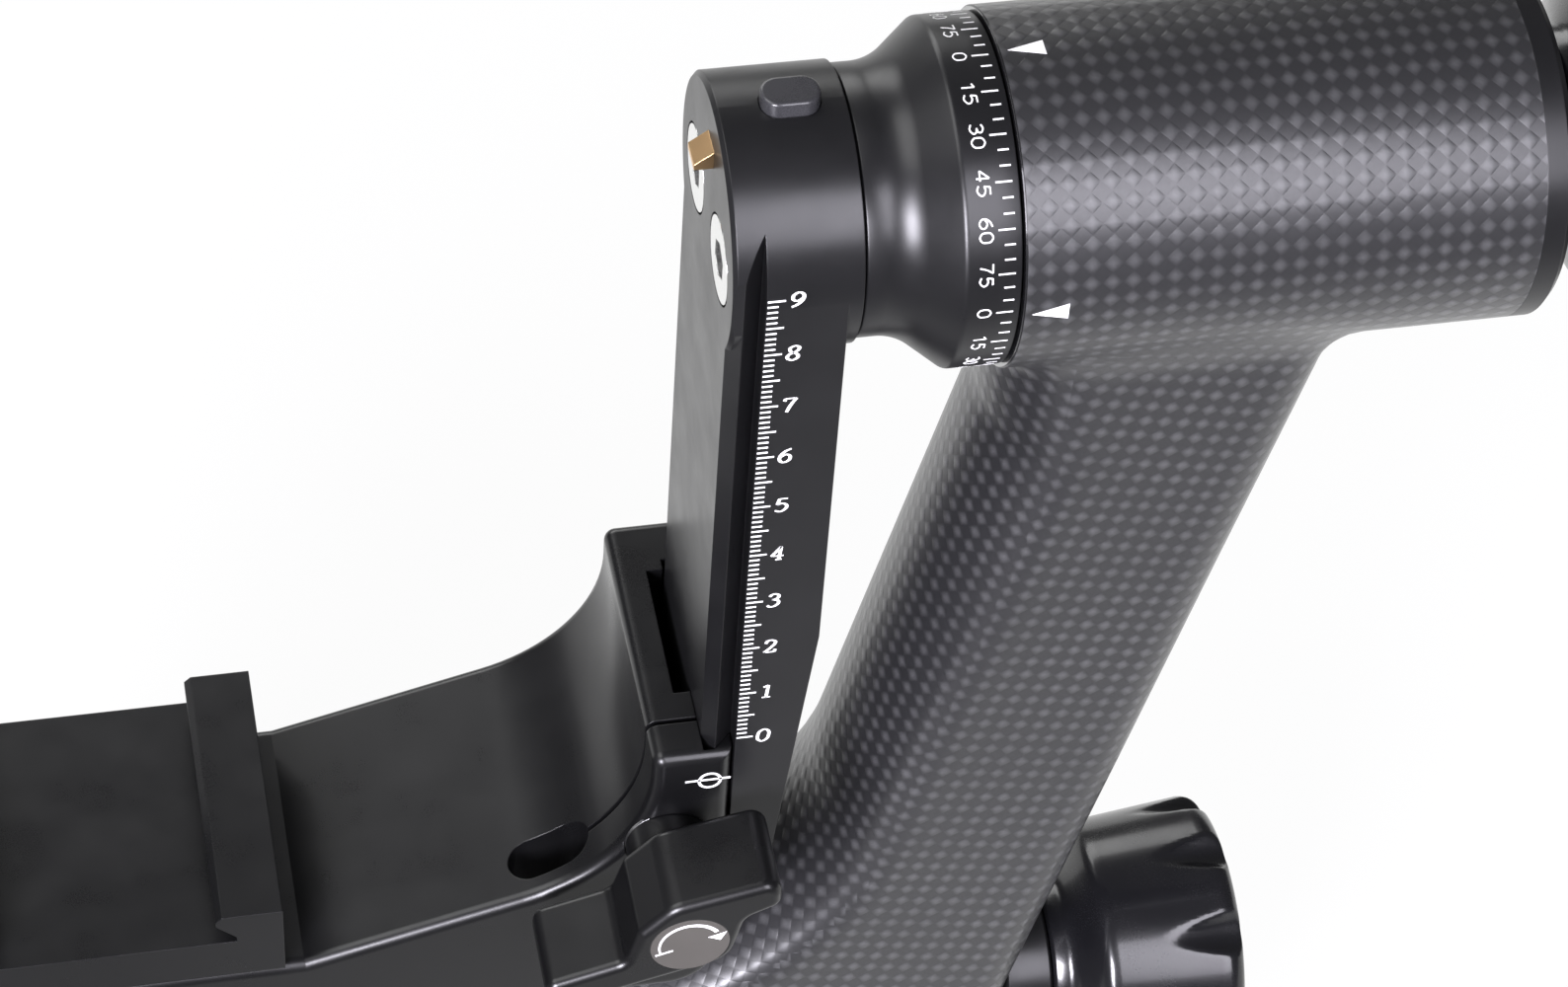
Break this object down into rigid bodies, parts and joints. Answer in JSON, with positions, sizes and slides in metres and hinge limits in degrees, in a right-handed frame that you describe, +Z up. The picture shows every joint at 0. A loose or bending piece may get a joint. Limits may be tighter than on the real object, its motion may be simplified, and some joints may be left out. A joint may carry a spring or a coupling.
{
  "type": "gimbal head",
  "caption": "Side-mount tripod gimbal head: carbon arm, tilt hub with degree dial, swing arm with scale, sliding lens cradle, lever clamp and locking knobs.",
  "frame": {"origin": "centre of the tripod thread at the base's underside, on the pan axis", "axes": "+Z up along the pan axis, +X outward along the tilt axis from the lens to the carbon arm, -Y towards the clamp lever"},
  "size_m": [0.2831, 0.0698, 0.2398],
  "materials": {
    "anodised_black": "black satin anodised aluminium",
    "carbon": "clear-coated plain-weave carbon fibre",
    "knob_black": "glossy black anodised, fluted",
    "steel": "ground and turned steel",
    "chrome_screw": "polished nickel-plated steel",
    "brass": "turned and milled brass",
    "bright_rim": "bright turned aluminium",
    "badge_grey": "grey satin disc with a white printed arrow",
    "brake_pad": "smooth acetal brake face",
    "blackened_steel": "blackened steel screws"
  },
  "bodies": {
    "base": {"base_plate": "anodised_black", "thread_insert": "steel", "pan_spindle": "steel", "base_screws": "blackened_steel", "spindle_nut": "steel", "pan_inner_races": "steel"},
    "pan": {"pan_outer_races": "steel", "pan_balls": "steel", "pan_housing": "anodised_black", "pan_cap": "anodised_black", "carbon_arm": "carbon", "tube_liner": "bright_rim", "tilt_outer_races": "steel", "tilt_balls": "steel", "tube_end_cap": "anodised_black", "end_cap_screws": "blackened_steel", "pan_lock_bushing": "anodised_black"},
    "tilt": {"tilt_inner_races": "steel", "bearing_spacer": "steel", "tilt_shaft": "steel", "shaft_nut": "steel", "hub_flare": "anodised_black", "hub_screws": "blackened_steel", "swing_arm": "anodised_black", "arm_screws": "chrome_screw", "button_spring": "steel"},
    "button": {"release_button": "anodised_black"},
    "pin": {"safety_pin": "brass"},
    "cradle": {"cradle_bracket": "anodised_black", "clamp_bolt": "steel", "lever_washer": "steel", "clamp_base": "anodised_black", "clamp_base_screws": "blackened_steel", "jaw_guide_pins": "steel", "jaw_springs": "steel"},
    "lever": {"clamp_lever": "anodised_black", "lever_bush": "steel", "lever_badge": "badge_grey"},
    "lens_jaw": {"moving_jaw": "anodised_black"},
    "lens_knob": {"lens_clamp_knob": "knob_black", "lens_clamp_bolt": "steel"},
    "tilt_knob": {"tilt_lock_knob": "knob_black", "tilt_lock_stud": "steel", "tilt_knob_cap": "anodised_black"},
    "tilt_brake": {"tilt_brake_pad": "brake_pad"},
    "pan_knob": {"pan_lock_knob": "knob_black", "pan_lock_stud": "steel", "pan_knob_cap": "anodised_black"},
    "pan_brake": {"pan_brake_rod": "steel", "pan_brake_shoe": "brake_pad"}
  },
  "joints": [
    {"name": "pan", "type": "hinge", "parent": "base", "child": "pan", "pos_m": [0, 0, 0], "axis": [0, 0, 1], "continuous": true},
    {"name": "tilt", "type": "hinge", "parent": "pan", "child": "tilt", "pos_m": [0, 0, 0.214], "axis": [1, 0, 0], "continuous": true},
    {"name": "cradle_slide", "type": "slide", "parent": "tilt", "child": "cradle", "axis": [0, 0, 1], "range_m": [0, 0.1]},
    {"name": "release_button", "type": "slide", "parent": "tilt", "child": "button", "axis": [0, 0, -1], "range_m": [0, 0.0023], "stiffness_N_per_m": 500, "springref_m": -0.002, "deforming": ["button_spring"]},
    {"name": "safety_pin", "type": "slide", "parent": "tilt", "child": "pin", "axis": [1, 0, 0], "range_m": [0, 0.0026]},
    {"name": "clamp_lever", "type": "hinge", "parent": "cradle", "child": "lever", "pos_m": [0.0831, 0, 0.104], "axis": [0, 1, 0], "range_deg": [0, 160]},
    {"name": "lens_knob", "type": "hinge", "parent": "lens_jaw", "child": "lens_knob", "pos_m": [-0.04, 0.00345, 0.088], "axis": [1, 0, 0], "range_deg": [0, 1800]},
    {"name": "lens_jaw", "type": "slide", "parent": "cradle", "child": "lens_jaw", "axis": [-1, 0, 0], "range_m": [0, 0.005]},
    {"name": "tilt_lock", "type": "hinge", "parent": "pan", "child": "tilt_knob", "pos_m": [0.21, 0, 0.214], "axis": [1, 0, 0], "range_deg": [-90, 180]},
    {"name": "tilt_brake", "type": "slide", "parent": "pan", "child": "tilt_brake", "axis": [1, 0, 0], "range_m": [-0.0002, 0.0001]},
    {"name": "pan_lock", "type": "hinge", "parent": "pan", "child": "pan_knob", "pos_m": [0.16, 0, 0.0352], "axis": [1, 0, 0], "range_deg": [-90, 180]},
    {"name": "pan_brake", "type": "slide", "parent": "pan", "child": "pan_brake", "axis": [1, 0, 0], "range_m": [-0.0003, 0.0002]}
  ],
  "couplings": [
    {"joint": "safety_pin", "follows": "release_button", "ratio": 1.1299},
    {"joint": "lens_jaw", "follows": "lens_knob", "m_per_rad": 0.000159},
    {"joint": "tilt_brake", "follows": "tilt_lock", "m_per_rad": -0.00006},
    {"joint": "pan_brake", "follows": "pan_lock", "m_per_rad": -0.00009}
  ]
}
